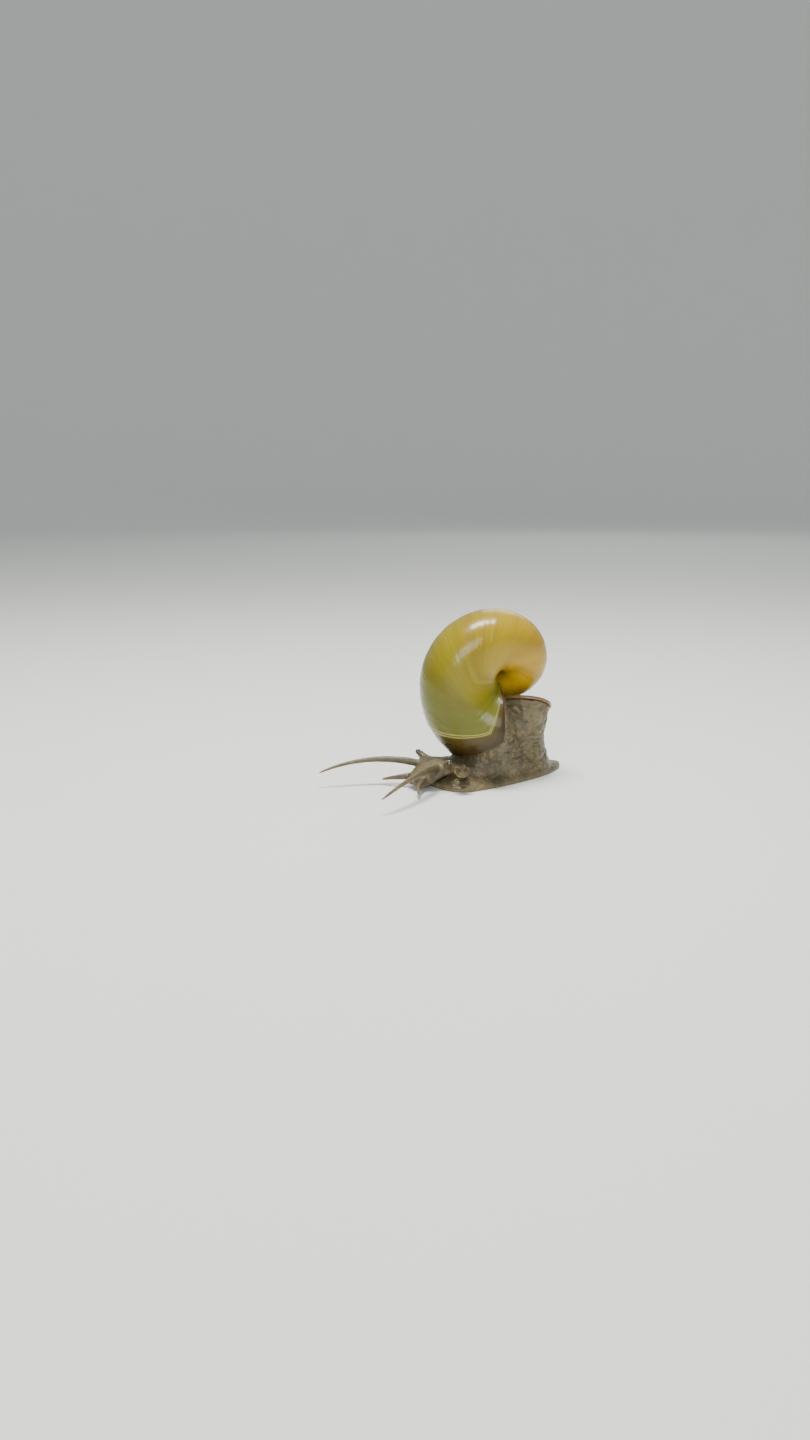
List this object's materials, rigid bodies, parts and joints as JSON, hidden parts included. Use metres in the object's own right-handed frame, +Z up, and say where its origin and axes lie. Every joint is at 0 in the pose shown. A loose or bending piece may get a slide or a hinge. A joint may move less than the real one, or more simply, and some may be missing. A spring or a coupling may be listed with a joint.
{
  "type": "apple snail",
  "caption": "Apple snail in life, crawling on its foot with a glossy golden shell tipped forward over its head and its feelers stretched out.",
  "frame": {"origin": "middle of the whole animal's box, on the floor under the sole", "axes": "+Z up, the animal heads along -Y, its left side is at +X"},
  "size_m": [0.0298, 0.0659, 0.0438],
  "materials": {
    "shell": "glossy, faintly translucent golden shell with fine growth lines",
    "flesh": "wet, finely pebbled olive brown skin with pale flecks",
    "operculum": "dark brown horn with fine concentric rings",
    "eye": "glossy black eye"
  },
  "bodies": {
    "root": {"shell": "shell", "mantle": "flesh", "trunk": "flesh", "neck": "flesh", "head": "flesh", "foot_front": "flesh", "foot_middle": "flesh", "foot_tail": "flesh", "operculum": "operculum", "siphon_left": "flesh", "neck_lobe_right": "flesh", "labial_palp_left": "flesh", "labial_palp_right": "flesh", "tentacle_left_1": "flesh", "tentacle_left_2": "flesh", "tentacle_left_3": "flesh", "tentacle_right_1": "flesh", "tentacle_right_2": "flesh", "tentacle_right_3": "flesh", "eyestalk_left": "flesh", "eyestalk_right": "flesh", "eye_left": "eye", "eye_right": "eye"}
  },
  "joints": []
}
